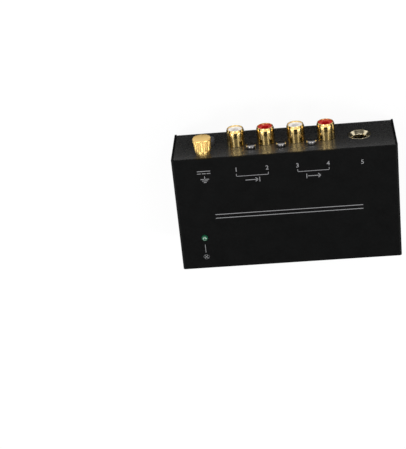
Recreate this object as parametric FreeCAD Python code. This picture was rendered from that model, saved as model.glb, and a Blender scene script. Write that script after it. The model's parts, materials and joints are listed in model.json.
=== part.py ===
"""Phono preamp: a small folded-steel box with four phono sockets, a headphone-size
output socket, a DC inlet and a ground terminal on its connector panel.

Millimetres. +X runs to the right as the top is read, +Y points out of the connector
panel and +Z up. The origin lies on the table, under the middle of the whole object.
"""
import FreeCAD
import Part
import math
import os

# Casing: a chassis folded from one sheet, and a cover with two sides
WIDTH = 104.0
DEPTH = 57.0
HEIGHT = 30.5
SHEET = 1.0
BEND = 1.2
INNER_BEND = 0.2
SEAM = 0.1

# Rubber feet, stuck under the chassis
FOOT_HEIGHT = 2.5
FOOT_RADIUS = 4.5
FOOT_TAPER = 0.7
FOOT_INSET = 9.0

# Tabs folded up inside the cover's sides, and the countersunk screws in them
TAB_LENGTH = 11.0
TAB_HEIGHT = 10.0
TAB_FROM_ENDS = 11.0
COVER_SCREW_HEIGHT = 3.5
COVER_SCREW_RADIUS = 1.25
COVER_SCREW_LENGTH = 5.0

# Circuit board on hexagonal standoffs
BOARD_THICKNESS = 1.6
BOARD_SIDE_GAP = 0.9
BOARD_REAR_GAP = 0.7
BOARD_FRONT_GAP = 1.0
BOARD_CORNER = 1.5
STANDOFF_HEIGHT = 5.0
STANDOFF_ACROSS = 4.8
STANDOFF_HEAD_ACROSS = 5.6
BOARD_SCREW_RADIUS = 1.5
BOARD_SCREW_HEAD_RADIUS = 2.5
BOARD_SCREW_HEAD = 1.6
BOARD_SCREW_LENGTH = 5.0
STANDOFF_FROM_SIDE = 3.0
STANDOFF_FROM_FRONT = 4.5
STANDOFF_CLEARANCE = 1.0

# Sides of round parts and holes out of sight, and of small tapers and domes in sight
FEW_SIDES = 8
MORE_SIDES = 12
TAPER_SIDES = 24

# Phono sockets
RCA_COUNT = 4
RCA_PITCH = 14.0
RCA_FIRST_X = -22.0
RCA_DOWN = 14.5
RCA_PROUD = 8.0
RCA_RADIUS = 4.15
RCA_WALL = 0.75
RCA_NECK_RADIUS = 3.8
RCA_RIM_RADIUS = 3.8
RCA_RIM_LENGTH = 1.3
RCA_SINK = 0.5
RCA_CONTACT_BORE = 1.65
RCA_CONTACT_WALL = 0.45
RCA_CONTACT_LENGTH = 10.0
RCA_CONTACT_BACK = 0.8
RCA_TAIL_WIDTH = 1.2
RCA_LIP = 1.6
RCA_FLANGE_RADIUS = 5.2
RCA_FLANGE = 1.2

# Moulded block that carries the four phono sockets
BLOCK_DEPTH = 14.5
BLOCK_PLATE = 2.5
BLOCK_CELL_WIDTH = 11.5
BLOCK_ABOVE = 6.0
BLOCK_SIDE = 7.0
BLOCK_SCREW_RISE = 3.6
BLOCK_EASE = 1.0
BOSS_RADIUS = 2.6
BOSS_DEPTH = 9.0

# Three cross-head screws between the phono sockets
PANEL_SCREW_DOWN = 9.0
PANEL_SCREW_RADIUS = 1.3
PANEL_SCREW_LENGTH = 8.0
PANEL_SCREW_HEAD_RADIUS = 2.45
PANEL_SCREW_HEAD = 1.7
PANEL_SCREW_EASE = 0.8

# 6.35 mm output socket
PHONE_X = 35.4
PHONE_DOWN = 15.6
PHONE_BORE = 3.25
PHONE_RING_RADIUS = 5.4
PHONE_MOUTH_RADIUS = 4.85
PHONE_RING_LENGTH = 4.6
PHONE_MOUTH_DEPTH = 1.7
PHONE_MOUTH_LEDGE = 0.15
PHONE_BODY_WIDTH = 15.0
PHONE_BODY_LENGTH = 31.0
PHONE_BODY_ABOVE = 7.2
PHONE_CAVITY = 3.45
PHONE_END = 1.2
PHONE_BODY_EASE = 1.2
PHONE_SLOT_WIDTH = 3.0
PHONE_SPRING_MARGIN = 2.0
PHONE_SPRING_KNEE = 0.3
PHONE_SPRING_INSET = 0.8
PHONE_TAIL_LENGTH = 1.4
SPRING_THICKNESS = 0.4
SPRING_WIDTH = 2.4

# DC inlet
DC_X = -37.2
DC_DOWN = 18.0
DC_NOSE_RADIUS = 5.0
DC_NOSE_PROUD = 1.8
DC_BODY_WIDTH = 9.2
DC_BODY_LENGTH = 12.5
DC_BODY_ABOVE = 5.0
DC_BORE = 2.9
DC_BORE_DEPTH = 10.5
DC_MOUTH = 0.5
DC_MOUTH_LEDGE = 0.1
DC_BODY_EASE = 0.8
DC_PIN_RADIUS = 1.0
DC_PIN_SINK = 1.4
DC_PIN_ROOT = 2.6
DC_TAIL_LENGTH = 1.2
DC_TAIL_WIDTH = 1.6
DC_SLOT_WIDTH = 2.4
DC_SPRING_WIDTH = 2.0
DC_SPRING_DROP = 0.6

# Ground terminal: a fixed stud with a closed knurled thumb nut over a captive washer
GROUND_X = -37.3
GROUND_DOWN = 6.5
STUD_RADIUS = 2.0
STUD_COLLAR_RADIUS = 3.3
STUD_COLLAR = 0.8
STUD_TIP_GAP = 1.5
GROUND_WASHER_RADIUS = 3.5
GROUND_WASHER = 0.6
RUNNING_GAP = 0.05
NUT_PROUD = 7.8
NUT_BASE_RADIUS = 3.7
NUT_TOP_RADIUS = 4.25
NUT_BASE_BAND = 0.7
NUT_TOP_BAND = 1.1
NUT_CHAMFER = 0.45
NUT_FLUTES = 22
NUT_FLUTE_DEPTH = 0.28
STUD_TAIL = 6.5
INNER_NUT_ACROSS = 7.0
INNER_NUT = 3.0
LOCK_WASHER_RADIUS = 3.8
LOCK_WASHER = 0.7
LUG_RADIUS = 3.8
LUG_THICKNESS = 0.6
LUG_REACH = 7.4
LUG_TAIL_WIDTH = 2.4
WIRE_RADIUS = 0.6
WIRE_RUN = 4.0
WIRE_BEND = 3.0

# Green 3 mm lamp in the top
LED_X = -40.2
LED_FROM_PANEL = 40.8
LED_RADIUS = 1.5
LED_FLANGE_RADIUS = 1.9
LED_FLANGE = 0.8
LED_PROUD = 1.4
LED_BODY = 5.0
LED_LEG_PITCH = 2.54
LED_DOME_BANDS = 4
LED_DOME_REACH = 80
SPACER_LENGTH = 5.0
SPACER_WIDTH = 3.6

# Parts on the board
LEG = 0.5
LEG_CLEARANCE = 0.05
LEG_BELOW = 1.2
CHIP_LENGTH = 4.9
CHIP_WIDTH = 3.9
CHIP_THICKNESS = 1.5
CHIP_LIFT = 0.15
CHIP_PITCH = 1.27
CHIP_SPAN = 6.0
CHIP_LEG_WIDTH = 0.42
CHIP_LEG_THICKNESS = 0.2
CHIP_SOLE = 0.6
CHIP_GAP = 16.0
CHIP_OFFSET = 2.0
CHIP_EASE = 0.3
BIG_CAN_RADIUS = 5.0
BIG_CAN_HEIGHT = 12.5
SMALL_CAN_RADIUS = 3.15
SMALL_CAN_HEIGHT = 11.0
SMALL_CAN_COUNT = 5
SMALL_CAN_PITCH = 9.5
CAN_FROM_FRONT = 7.5
CAN_GAP = 3.0
LED_TO_CAN = 6.0
FILM_LENGTH = 7.2
FILM_WIDTH = 2.8
FILM_HEIGHT = 6.5
FILM_COUNT = 6
FILM_GAP = 2.0
FILM_EASE = 0.5
RESISTOR_LENGTH = 3.2
RESISTOR_WIDTH = 1.6
RESISTOR_THICKNESS = 0.6
RESISTOR_PITCH = 4.2
RESISTOR_COUNT = 12
REGULATOR_WIDTH = 10.0
REGULATOR_HEIGHT = 9.0
REGULATOR_THICKNESS = 4.4
REGULATOR_TAB = 1.3
REGULATOR_TAB_HEIGHT = 6.0
REGULATOR_HOLE = 1.8
REGULATOR_LIFT = 3.0
REGULATOR_LEG_PITCH = 2.54
REGULATOR_LEG_WIDTH = 0.8
REGULATOR_GAP = 4.0
REGULATOR_EASE = 0.4
DIODE_GAP = 3.0
DIODE_RADIUS = 1.35
DIODE_LENGTH = 5.2
DIODE_SPAN = 10.0

# Places that follow from the sizes
X_AXIS = FreeCAD.Vector(1, 0, 0)
Y_AXIS = FreeCAD.Vector(0, 1, 0)
Z_AXIS = FreeCAD.Vector(0, 0, 1)
TOP = FOOT_HEIGHT + HEIGHT
FLOOR = FOOT_HEIGHT + SHEET
PANEL_Y = (DEPTH - RCA_PROUD) / 2
PANEL_INSIDE = PANEL_Y - SHEET
FRONT_Y = PANEL_Y - DEPTH
FRONT_INSIDE = FRONT_Y + SHEET
CHASSIS_X = WIDTH / 2 - SHEET - SEAM
BOARD_BOTTOM = FLOOR + STANDOFF_HEIGHT
BOARD_TOP = BOARD_BOTTOM + BOARD_THICKNESS
BOARD_X = CHASSIS_X - SHEET - BOARD_SIDE_GAP
BOARD_REAR = PANEL_INSIDE - BOARD_REAR_GAP
BOARD_FRONT = FRONT_INSIDE + BOARD_FRONT_GAP
RCA_Z = TOP - RCA_DOWN
RCA_XS = [RCA_FIRST_X + i * RCA_PITCH for i in range(RCA_COUNT)]
RCA_NAMES = ("input_left", "input_right", "output_left", "output_right")
PANEL_SCREW_XS = [x + RCA_PITCH / 2 for x in RCA_XS[:-1]]
PANEL_SCREW_Z = TOP - PANEL_SCREW_DOWN
RCA_MOUTH_Y = PANEL_Y + RCA_PROUD
RCA_BACK_Y = PANEL_INSIDE - BLOCK_PLATE
PHONE_Z = TOP - PHONE_DOWN
PHONE_RING_BACK = PANEL_Y - PHONE_RING_LENGTH
PHONE_BODY_BACK = PANEL_INSIDE - PHONE_BODY_LENGTH
DC_Z = TOP - DC_DOWN
DC_NOSE_Y = PANEL_Y + DC_NOSE_PROUD
DC_BORE_FLOOR = DC_NOSE_Y - DC_BORE_DEPTH
DC_BODY_BACK = PANEL_INSIDE - DC_BODY_LENGTH
GROUND_Z = TOP - GROUND_DOWN
LED_Y = PANEL_Y - LED_FROM_PANEL
LED_BASE = TOP + LED_PROUD - LED_BODY - LED_FLANGE
CAN_Y = BOARD_FRONT + CAN_FROM_FRONT


def point(x, y, z):
    return FreeCAD.Vector(x, y, z)


def block(x, y, z):
    """Box between the low and high value of each pair."""
    corner = point(x[0], y[0], z[0])
    return Part.makeBox(x[1] - x[0], y[1] - y[0], z[1] - z[0], corner)


def bar(centre, size, z):
    """Upright box with its middle at centre and the given x and y size."""
    x = (centre[0] - size[0] / 2, centre[0] + size[0] / 2)
    y = (centre[1] - size[1] / 2, centre[1] + size[1] / 2)
    return block(x, y, z)


def rod_y(radius, x, z, low, high):
    return Part.makeCylinder(radius, high - low, point(x, low, z), Y_AXIS)


def rod_z(radius, x, y, low, high):
    return Part.makeCylinder(radius, high - low, point(x, y, low), Z_AXIS)


def turned(steps, place):
    """Solid of revolution around Y, through (radius, height) points on its outline."""
    corners = [point(radius, height, 0) for radius, height in steps]
    solid = Part.Face(closed(corners)).revolve(point(0, 0, 0), Y_AXIS, 360)
    solid.translate(place)
    return solid


def regular_corners(sides, radius, height=0):
    """Corners of a regular polygon around the Z axis, all at the given radius."""
    angles = [2 * math.pi * (i + 0.5) / sides for i in range(sides)]
    return [point(radius * math.cos(angle), radius * math.sin(angle), height)
            for angle in angles]


def closed(corners):
    return Part.makePolygon(corners + corners[:1])


def faceted(outlines):
    """Solid with flat faces through parallel outlines of matching corners."""
    faces = [Part.Face(closed(outlines[0])), Part.Face(closed(outlines[-1]))]
    for low, high in zip(outlines, outlines[1:]):
        for i in range(len(low)):
            faces.append(Part.Face(closed([low[i - 1], low[i], high[i], high[i - 1]])))
    solid = Part.makeSolid(Part.makeShell(faces))
    if solid.Volume < 0:
        solid.reverse()
    return solid


def tapered(sides, rings, place, axis):
    """Tapered prism along axis, through rings of a (corner radius, height) each."""
    solid = faceted([regular_corners(sides, *ring) for ring in rings])
    solid.Placement = FreeCAD.Placement(place, FreeCAD.Rotation(Z_AXIS, axis))
    return solid


def regular_face(sides, across):
    """Face of a regular polygon with the given size across its flats."""
    return Part.Face(closed(regular_corners(sides, across / (2 * math.cos(math.pi / sides)))))


def prism(sides, across, place, axis, length):
    """Regular prism that starts at place and runs along axis."""
    solid = regular_face(sides, across).extrude(point(0, 0, length))
    solid.Placement = FreeCAD.Placement(place, FreeCAD.Rotation(Z_AXIS, axis))
    return solid


def prism_y(sides, across, x, z, low, high):
    return prism(sides, across, point(x, low, z), Y_AXIS, high - low)


def prism_z(sides, across, x, y, low, high):
    return prism(sides, across, point(x, y, low), Z_AXIS, high - low)


def edges_along(shape, axis, keep):
    """The straight edges of shape that run along axis and whose middle keep accepts."""
    found = []
    for edge in shape.Edges:
        ends = [vertex.Point for vertex in edge.Vertexes]
        if len(ends) == 2 and isinstance(edge.Curve, Part.Line):
            run = (ends[1] - ends[0]).normalize()
            if abs(run.dot(axis)) > 0.999 and keep(edge.CenterOfMass):
                found.append(edge)
    return found


def rounded(shape, radius, axis, keep=lambda middle: True):
    return shape.makeFillet(radius, edges_along(shape, axis, keep))


def joined(shapes):
    """One solid from shapes that touch or overlap."""
    whole = shapes[0]
    for shape in shapes[1:]:
        whole = whole.fuse(shape)
    return whole.removeSplitter()


def strip(points, thickness, width, x=0):
    """Bent strip that follows points (y, z), with its width along X and centred on x."""
    path = [point(x - width / 2, y, z) for y, z in points]
    sides = [(end - start).normalize().cross(X_AXIS) for start, end in zip(path, path[1:])]
    left, right = [], []
    for i, corner in enumerate(path):
        before, after = sides[max(i - 1, 0)], sides[min(i, len(sides) - 1)]
        reach = (before + after) * (thickness / 2 / (1 + before.dot(after)))
        left.append(corner + reach)
        right.append(corner - reach)
    return Part.Face(closed(left + right[::-1])).extrude(point(width, 0, 0))


def standoff_places():
    x = BOARD_X - STANDOFF_FROM_SIDE
    rear = PHONE_BODY_BACK - STANDOFF_CLEARANCE - BOARD_SCREW_HEAD_RADIUS
    for y in (BOARD_FRONT + STANDOFF_FROM_FRONT, rear):
        for side in (-1, 1):
            yield side * x, y


def tab_places():
    for y in (FRONT_Y + TAB_FROM_ENDS, PANEL_Y - TAB_FROM_ENDS):
        for side in (-1, 1):
            yield side, y


def cover_screw_cone(side, y, clearance):
    """Countersink of a cover screw, through the whole sheet at 45 degrees."""
    start = point(side * WIDTH / 2, y, FOOT_HEIGHT + COVER_SCREW_HEIGHT)
    inner = COVER_SCREW_RADIUS + clearance
    return tapered(TAPER_SIDES, [(inner + SHEET, 0), (inner, SHEET)], start,
                   X_AXIS * -side)


def cover_screw_shank(side, y, clearance):
    start = point(side * (WIDTH / 2 - SHEET), y, FOOT_HEIGHT + COVER_SCREW_HEIGHT)
    return prism(FEW_SIDES, 2 * (COVER_SCREW_RADIUS + clearance), start, X_AXIS * -side,
                 COVER_SCREW_LENGTH - SHEET)


def folded(low, high, wide, axis, fold_z):
    """Open channel of sheet: outside from low to high, with its folds at fold_z."""
    outer = rounded(block(*wide(low, high, 0)), BEND, axis,
                    lambda middle: abs(middle.z - fold_z) < SHEET / 2)
    inner_z = fold_z + math.copysign(SHEET, 0.5 * (low[1] + high[1]) - fold_z)
    inner = rounded(block(*wide(low, high, SHEET)), INNER_BEND, axis,
                    lambda middle: abs(middle.z - inner_z) < SHEET / 2)
    return outer.cut(inner)


def chassis():
    """Floor, front wall and connector panel in one fold, with four side tabs."""
    top = TOP - SHEET - SEAM

    def wide(low, high, inset):
        x = (-CHASSIS_X - inset, CHASSIS_X + inset)
        y = (low[0] + inset, high[0] - inset)
        return x, y, (low[1] + inset, high[1] + inset)

    body = folded((FRONT_Y, FOOT_HEIGHT), (PANEL_Y, top), wide, X_AXIS, FOOT_HEIGHT)
    for side, y in tab_places():
        x = sorted((side * CHASSIS_X, side * (CHASSIS_X - SHEET)))
        tab = block(x, (y - TAB_LENGTH / 2, y + TAB_LENGTH / 2),
                    (FOOT_HEIGHT, FOOT_HEIGHT + TAB_HEIGHT))
        tab = tab.makeChamfer(TAB_LENGTH / 4, edges_along(
            tab, X_AXIS, lambda middle: middle.z > FLOOR))
        body = body.fuse(tab)
    body = body.removeSplitter()
    for side, y in tab_places():
        body = body.cut(cover_screw_shank(side, y, RUNNING_GAP))
    for x, y in standoff_places():
        body = body.cut(standoff_head(x, y))
    for hole in panel_holes():
        body = body.cut(hole)
    return body


def panel_holes():
    through = (PANEL_INSIDE - SHEET, PANEL_Y + SHEET)
    for x in RCA_XS:
        yield rod_y(RCA_RADIUS + SEAM, x, RCA_Z, *through)
    for x in PANEL_SCREW_XS:
        yield prism_y(FEW_SIDES, 2 * (PANEL_SCREW_RADIUS + SEAM), x, PANEL_SCREW_Z,
                      *through)
    yield rod_y(PHONE_RING_RADIUS + SEAM, PHONE_X, PHONE_Z, *through)
    yield rod_y(DC_NOSE_RADIUS + SEAM, DC_X, DC_Z, *through)
    yield stud_tail(*through, RUNNING_GAP)


def cover():
    """Top with its two sides folded down, a lamp hole and countersunk screw holes."""
    def wide(low, high, inset):
        x = (low[0] + inset, high[0] - inset)
        return x, (FRONT_Y - inset, PANEL_Y + inset), (low[1] - inset, high[1] - inset)

    half = WIDTH / 2
    body = folded((-half, FOOT_HEIGHT), (half, TOP), wide, Y_AXIS, TOP)
    for side, y in tab_places():
        body = body.cut(cover_screw_cone(side, y, RUNNING_GAP))
    return body.cut(rod_z(LED_RADIUS + SEAM, LED_X, LED_Y, TOP - 2 * SHEET, TOP + SHEET))


def cover_screws():
    """Four countersunk screws, flush with the cover's sides."""
    return Part.makeCompound([
        cover_screw_cone(side, y, 0).fuse(cover_screw_shank(side, y, 0)).removeSplitter()
        for side, y in tab_places()])


def foot(x, y):
    rings = [(FOOT_RADIUS - FOOT_TAPER, 0), (FOOT_RADIUS, FOOT_HEIGHT)]
    return tapered(TAPER_SIDES, rings, point(x, y, 0), Z_AXIS)


def standoff_head(x, y):
    """Hexagonal head of a standoff, pressed flush into the floor."""
    return prism_z(6, STANDOFF_HEAD_ACROSS, x, y, FOOT_HEIGHT, FLOOR)


def standoffs():
    """Standoffs whose hexagonal heads are pressed into the floor."""
    bore = 2 * (BOARD_SCREW_RADIUS + RUNNING_GAP)
    low = BOARD_TOP - BOARD_SCREW_LENGTH - RUNNING_GAP
    made = []
    for x, y in standoff_places():
        post = prism_z(FEW_SIDES, STANDOFF_ACROSS, x, y, FLOOR, BOARD_BOTTOM)
        post = joined([standoff_head(x, y), post])
        made.append(post.cut(prism_z(FEW_SIDES, bore, x, y, low, BOARD_TOP)))
    return Part.makeCompound(made)


def board_screws():
    made = []
    for x, y in standoff_places():
        head = prism_z(MORE_SIDES, 2 * BOARD_SCREW_HEAD_RADIUS, x, y, BOARD_TOP,
                       BOARD_TOP + BOARD_SCREW_HEAD)
        shank = prism_z(FEW_SIDES, 2 * BOARD_SCREW_RADIUS, x, y,
                        BOARD_TOP - BOARD_SCREW_LENGTH, BOARD_TOP)
        made.append(joined([head, shank]))
    return Part.makeCompound(made)


def panel_screws():
    """Three screws with eased heads, driven through the panel into the block's bosses."""
    rings = [(PANEL_SCREW_HEAD_RADIUS, 0),
             (PANEL_SCREW_HEAD_RADIUS, PANEL_SCREW_HEAD - PANEL_SCREW_EASE),
             (PANEL_SCREW_HEAD_RADIUS - PANEL_SCREW_EASE, PANEL_SCREW_HEAD)]
    made = []
    for x in PANEL_SCREW_XS:
        head = tapered(TAPER_SIDES, rings, point(x, PANEL_Y, PANEL_SCREW_Z), Y_AXIS)
        shank = prism_y(FEW_SIDES, 2 * PANEL_SCREW_RADIUS, x, PANEL_SCREW_Z,
                        PANEL_Y - PANEL_SCREW_LENGTH, PANEL_Y)
        made.append(joined([head, shank]))
    return Part.makeCompound(made)


def rca_block():
    """Moulded carrier: a plate behind the panel, a cell for each socket and bosses."""
    left, right = RCA_XS[0] - BLOCK_SIDE, RCA_XS[-1] + BLOCK_SIDE
    plate_top = PANEL_SCREW_Z + BLOCK_SCREW_RISE
    pieces = [block((left, right), (RCA_BACK_Y, PANEL_INSIDE), (BOARD_TOP, plate_top))]
    for x in RCA_XS:
        cell = block((x - BLOCK_CELL_WIDTH / 2, x + BLOCK_CELL_WIDTH / 2),
                     (PANEL_INSIDE - BLOCK_DEPTH, RCA_BACK_Y),
                     (BOARD_TOP, RCA_Z + BLOCK_ABOVE))
        pieces.append(cell.makeChamfer(BLOCK_EASE, edges_along(
            cell, Y_AXIS, lambda middle: middle.z > RCA_Z)))
    for x in PANEL_SCREW_XS:
        boss = bar((x, PANEL_INSIDE - BOSS_DEPTH / 2), (2 * BOSS_RADIUS, BOSS_DEPTH),
                   (PANEL_SCREW_Z - BOSS_RADIUS, PANEL_SCREW_Z + BOSS_RADIUS))
        pieces.append(boss)
    body = joined(pieces)
    tail = contact_tail()
    half = RCA_CONTACT_BORE + RCA_CONTACT_WALL
    for x in RCA_XS:
        body = body.cut(prism_y(FEW_SIDES, 2 * (RCA_RADIUS + RUNNING_GAP), x, RCA_Z,
                                RCA_BACK_Y, PANEL_INSIDE))
        body = body.cut(prism_y(FEW_SIDES, 2 * RCA_FLANGE_RADIUS, x, RCA_Z,
                                RCA_BACK_Y - RCA_FLANGE, RCA_BACK_Y))
        body = body.cut(block((x - half, x + half), tail, (BOARD_TOP, RCA_Z + half)))
    for x in PANEL_SCREW_XS:
        body = body.cut(prism_y(FEW_SIDES, 2 * PANEL_SCREW_RADIUS, x, PANEL_SCREW_Z,
                                PANEL_Y - PANEL_SCREW_LENGTH, PANEL_INSIDE))
    return body


def contact_tail():
    """Back and front of the solder tail behind each centre contact."""
    front = RCA_BACK_Y - RCA_FLANGE
    return front - RCA_CONTACT_BACK, front


def rca_shell(x):
    """Shell with a tapered mouth, a neck in the panel and a flange behind it."""
    back = RCA_BACK_Y - RCA_FLANGE
    rim_y = RCA_MOUTH_Y - RCA_RIM_LENGTH
    rim = tapered(TAPER_SIDES, [(RCA_RADIUS, 0), (RCA_RIM_RADIUS, RCA_RIM_LENGTH)],
                  point(x, rim_y, RCA_Z), Y_AXIS)
    neck = prism_y(FEW_SIDES, 2 * RCA_NECK_RADIUS, x, RCA_Z, RCA_BACK_Y, PANEL_Y)
    flange = prism_y(FEW_SIDES, 2 * RCA_FLANGE_RADIUS, x, RCA_Z, back, RCA_BACK_Y)
    body = joined([rod_y(RCA_RADIUS, x, RCA_Z, PANEL_Y, rim_y), rim, neck, flange])
    return body.cut(rod_y(RCA_RADIUS - RCA_WALL, x, RCA_Z, back, RCA_MOUTH_Y))


def rca_insulator(x):
    """Coloured sleeve inside the shell, with a lip in front of the centre contact."""
    outer = RCA_RADIUS - RCA_WALL
    face = RCA_MOUTH_Y - RCA_SINK
    back = RCA_BACK_Y - RCA_FLANGE
    steps = [(RCA_CONTACT_BORE, back), (outer, back), (outer, face),
             (RCA_CONTACT_BORE, face)]
    sleeve = turned(steps, point(x, 0, RCA_Z))
    return sleeve.cut(contact_body(x, back, face - RCA_LIP))


def contact_body(x, low, high):
    across = 2 * (RCA_CONTACT_BORE + RCA_CONTACT_WALL)
    return prism_y(FEW_SIDES, across, x, RCA_Z, low, high)


def rca_contact(x):
    """Centre contact: a closed tube up to the lip, with a tail down to the board."""
    front = RCA_MOUTH_Y - RCA_SINK - RCA_LIP
    low, high = contact_tail()
    tube = contact_body(x, high, front)
    tube = tube.cut(rod_y(RCA_CONTACT_BORE, x, RCA_Z, front - RCA_CONTACT_LENGTH, front))
    tail = block((x - RCA_TAIL_WIDTH / 2, x + RCA_TAIL_WIDTH / 2), (low, high),
                 (BOARD_TOP, RCA_Z + RCA_TAIL_WIDTH / 2))
    return joined([tube, tail])


def phone_ring():
    """Metal mouth of the output socket, flush with the panel."""
    body = rod_y(PHONE_RING_RADIUS, PHONE_X, PHONE_Z, PHONE_RING_BACK, PANEL_Y)
    mouth = tapered(TAPER_SIDES, [(PHONE_BORE + PHONE_MOUTH_LEDGE, 0),
                                  (PHONE_MOUTH_RADIUS, PHONE_MOUTH_DEPTH)],
                    point(PHONE_X, PANEL_Y - PHONE_MOUTH_DEPTH, PHONE_Z), Y_AXIS)
    body = body.cut(mouth)
    return body.cut(rod_y(PHONE_BORE, PHONE_X, PHONE_Z, PHONE_RING_BACK, PANEL_Y))


def phone_body():
    """Moulded body behind the ring, with a slot for each contact spring."""
    half = PHONE_BODY_WIDTH / 2
    body = block((PHONE_X - half, PHONE_X + half), (PHONE_BODY_BACK, PANEL_INSIDE),
                 (BOARD_TOP, PHONE_Z + PHONE_BODY_ABOVE))
    body = body.makeChamfer(PHONE_BODY_EASE, edges_along(
        body, Y_AXIS, lambda middle: middle.z > PHONE_Z))
    body = body.cut(prism_y(FEW_SIDES, 2 * PHONE_RING_RADIUS, PHONE_X, PHONE_Z,
                            PHONE_RING_BACK, PANEL_INSIDE))
    body = body.cut(prism_y(FEW_SIDES, 2 * PHONE_CAVITY, PHONE_X, PHONE_Z,
                            PHONE_BODY_BACK + PHONE_END, PHONE_RING_BACK))
    for side, start, end in phone_spring_spans():
        x = sorted((PHONE_X + side * PHONE_CAVITY, PHONE_X + side * (half + SHEET)))
        body = body.cut(block(x, (end - SHEET, start + SHEET),
                              (BOARD_TOP, PHONE_Z + PHONE_SLOT_WIDTH / 2)))
    return body


def phone_spring_spans():
    """Side, front and back of each contact spring's slot."""
    front = PHONE_RING_BACK - PHONE_SPRING_MARGIN
    back = PHONE_BODY_BACK + 2 * PHONE_SPRING_MARGIN
    middle = (front + back) / 2
    return (-1, front, middle), (1, middle, back)


def phone_spring(side, start, end):
    """Bowed leaf spring beside the plug's path, with its tail down to the board."""
    near = side * (PHONE_CAVITY + SPRING_THICKNESS)
    far = side * (PHONE_BODY_WIDTH / 2 - PHONE_SPRING_INSET)
    knee = end + PHONE_SPRING_KNEE * (start - end)
    leaf = strip([(start, far), (knee, near), (end, far)], SPRING_THICKNESS,
                 SPRING_WIDTH)
    leaf.rotate(point(0, 0, 0), Y_AXIS, 90)
    leaf.translate(point(PHONE_X, 0, PHONE_Z))
    tail = bar((PHONE_X + far, start - SPRING_THICKNESS),
               (SPRING_THICKNESS, PHONE_TAIL_LENGTH), (BOARD_TOP, PHONE_Z))
    return joined([leaf, tail])


def dc_body():
    """Moulded inlet with a round nose through the panel and a plug hole."""
    half = DC_BODY_WIDTH / 2
    body = block((DC_X - half, DC_X + half), (DC_BODY_BACK, BOARD_REAR),
                 (BOARD_TOP, DC_Z + DC_BODY_ABOVE))
    body = body.makeChamfer(DC_BODY_EASE, edges_along(
        body, Y_AXIS, lambda middle: middle.z > DC_Z))
    body = joined([body, rod_y(DC_NOSE_RADIUS, DC_X, DC_Z, BOARD_REAR, DC_NOSE_Y)])
    mouth = tapered(TAPER_SIDES, [(DC_BORE + DC_MOUTH_LEDGE, 0), (DC_BORE + DC_MOUTH, DC_MOUTH)],
                    point(DC_X, DC_NOSE_Y - DC_MOUTH, DC_Z), Y_AXIS)
    body = body.cut(mouth)
    body = body.cut(rod_y(DC_BORE, DC_X, DC_Z, DC_BORE_FLOOR, DC_NOSE_Y))
    body = body.cut(dc_pin_root(DC_BODY_BACK))
    return body.cut(block((DC_X - DC_SLOT_WIDTH / 2, DC_X + DC_SLOT_WIDTH / 2),
                          (DC_BODY_BACK, BOARD_REAR - 2 * SHEET),
                          (BOARD_TOP, DC_Z - DC_BORE + SEAM)))


def dc_pin_root(low):
    """Square root of the pin, from low to the floor of the plug hole."""
    half = DC_PIN_ROOT / 2
    return block((DC_X - half, DC_X + half), (low, DC_BORE_FLOOR), (DC_Z - half, DC_Z + half))


def dc_pin():
    """Centre pin with an eased tip, a square root and a solder tail behind the body."""
    root = DC_BODY_BACK - DC_TAIL_LENGTH
    tip = DC_NOSE_Y - DC_PIN_SINK
    ease = DC_PIN_RADIUS / 2
    pin = rod_y(DC_PIN_RADIUS, DC_X, DC_Z, DC_BORE_FLOOR, tip - ease)
    point_end = tapered(MORE_SIDES, [(DC_PIN_RADIUS, 0), (DC_PIN_RADIUS - ease, ease)],
                        point(DC_X, tip - ease, DC_Z), Y_AXIS)
    tail = block((DC_X - DC_TAIL_WIDTH / 2, DC_X + DC_TAIL_WIDTH / 2),
                 (root, DC_BODY_BACK), (BOARD_TOP, DC_Z))
    return joined([pin, point_end, dc_pin_root(root), tail])


def dc_spring():
    """Leaf contact under the plug hole."""
    near = DC_Z - DC_BORE - SPRING_THICKNESS
    foot_y = DC_BODY_BACK + 2 * SHEET
    points = [(foot_y, BOARD_TOP), (foot_y, near),
              (BOARD_REAR - 3 * SHEET, near - DC_SPRING_DROP)]
    return strip(points, SPRING_THICKNESS, DC_SPRING_WIDTH, DC_X)


def stud_tail(low, high, clearance=0):
    """The stud behind the panel, or the hole for it in what it carries there."""
    return prism_y(FEW_SIDES, 2 * (STUD_RADIUS + clearance), GROUND_X, GROUND_Z, low, high)


def ground_stud():
    """Fixed stud: a collar outside the panel and a tail for the inner nut."""
    tip = PANEL_Y + NUT_PROUD - STUD_TIP_GAP - SHEET
    post = rod_y(STUD_RADIUS, GROUND_X, GROUND_Z, PANEL_Y, tip)
    collar = rod_y(STUD_COLLAR_RADIUS, GROUND_X, GROUND_Z, PANEL_Y,
                   PANEL_Y + STUD_COLLAR)
    return joined([post, collar, stud_tail(PANEL_INSIDE - STUD_TAIL, PANEL_Y)])


def washer_base():
    return PANEL_Y + STUD_COLLAR + RUNNING_GAP


def nut_base():
    return washer_base() + GROUND_WASHER + RUNNING_GAP


def ground_washer():
    """Washer that travels with the thumb nut and clamps the ground wire's lug."""
    inner, low = STUD_RADIUS + RUNNING_GAP, washer_base()
    steps = [(inner, low), (GROUND_WASHER_RADIUS, low),
             (GROUND_WASHER_RADIUS, low + GROUND_WASHER), (inner, low + GROUND_WASHER)]
    return turned(steps, point(GROUND_X, 0, GROUND_Z))


def fluted(radius, y):
    """Corners of the knurl at height y, one notch for each flute."""
    corners = []
    for i in range(4 * NUT_FLUTES):
        depth = NUT_FLUTE_DEPTH if i % 4 in (2, 3) else 0
        reach = radius * (1 - depth / NUT_TOP_RADIUS)
        angle = 2 * math.pi * i / (4 * NUT_FLUTES)
        corners.append(point(reach * math.cos(angle), y, reach * math.sin(angle)))
    return corners


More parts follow.
